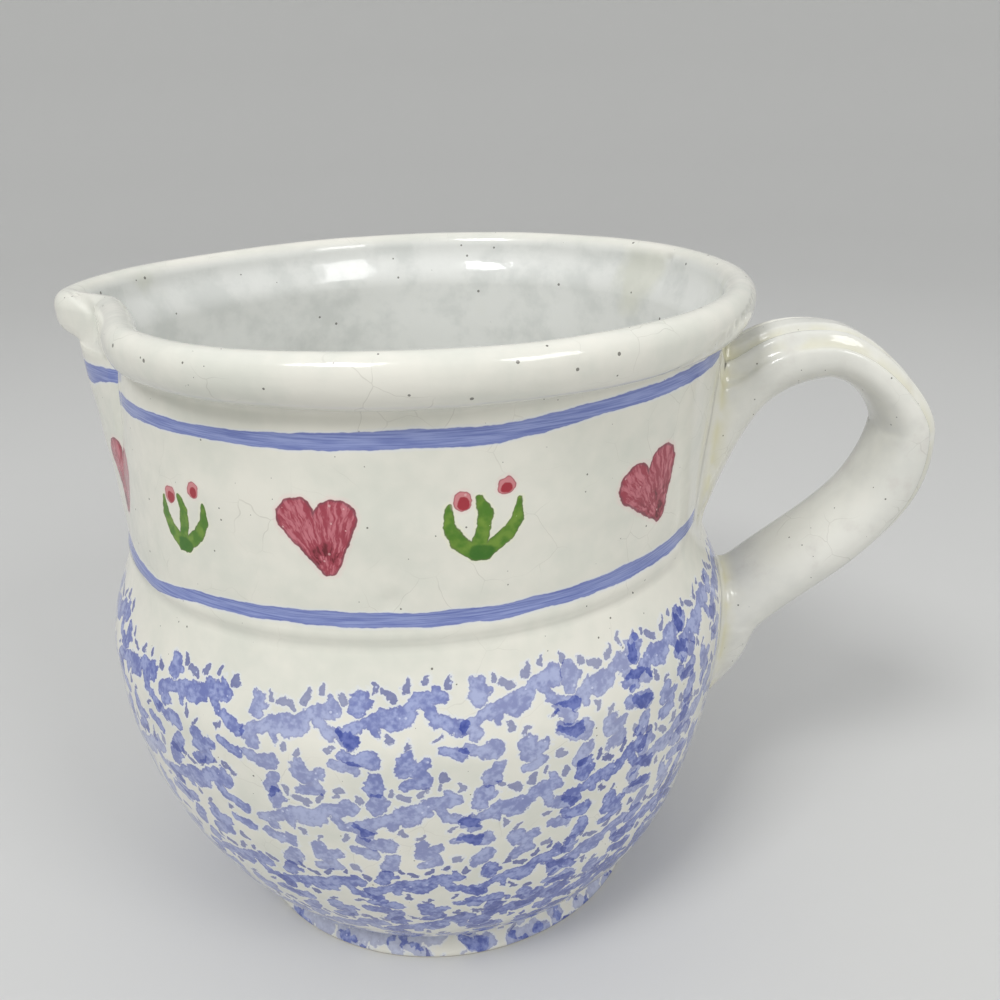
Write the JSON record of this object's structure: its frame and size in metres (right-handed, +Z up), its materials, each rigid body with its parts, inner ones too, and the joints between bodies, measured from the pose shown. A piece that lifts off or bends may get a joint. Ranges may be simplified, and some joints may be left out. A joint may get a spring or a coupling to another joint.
{
  "type": "pitcher",
  "caption": "Wide-mouthed glazed earthenware pitcher with a round belly on a turned foot ring, a rolled rim with a pulled pouring lip, and a ribbed strap handle.",
  "frame": {"origin": "on the plane the foot stands on, under the middle of the pitcher's length from lip to handle and of its width", "axes": "+Z up, +X towards the handle, -X towards the pouring lip"},
  "size_m": [0.266, 0.201, 0.2037],
  "materials": {
    "body_glaze": "glossy cream glaze over fired clay, with painted bands, hearts and leaf sprigs on the neck and sponged blue on the belly",
    "handle_glaze": "glossy cream glaze, pooled a little yellower in the grooves",
    "foot_glaze": "glossy cream glaze with faint blue, wiped bare on the tread"
  },
  "bodies": {
    "root": {"foot_ring": "foot_glaze", "belly": "body_glaze", "neck": "body_glaze", "rolled_rim": "body_glaze", "pouring_lip": "body_glaze", "handle_root": "handle_glaze", "handle_strap": "handle_glaze", "handle_tail": "handle_glaze"}
  },
  "joints": []
}
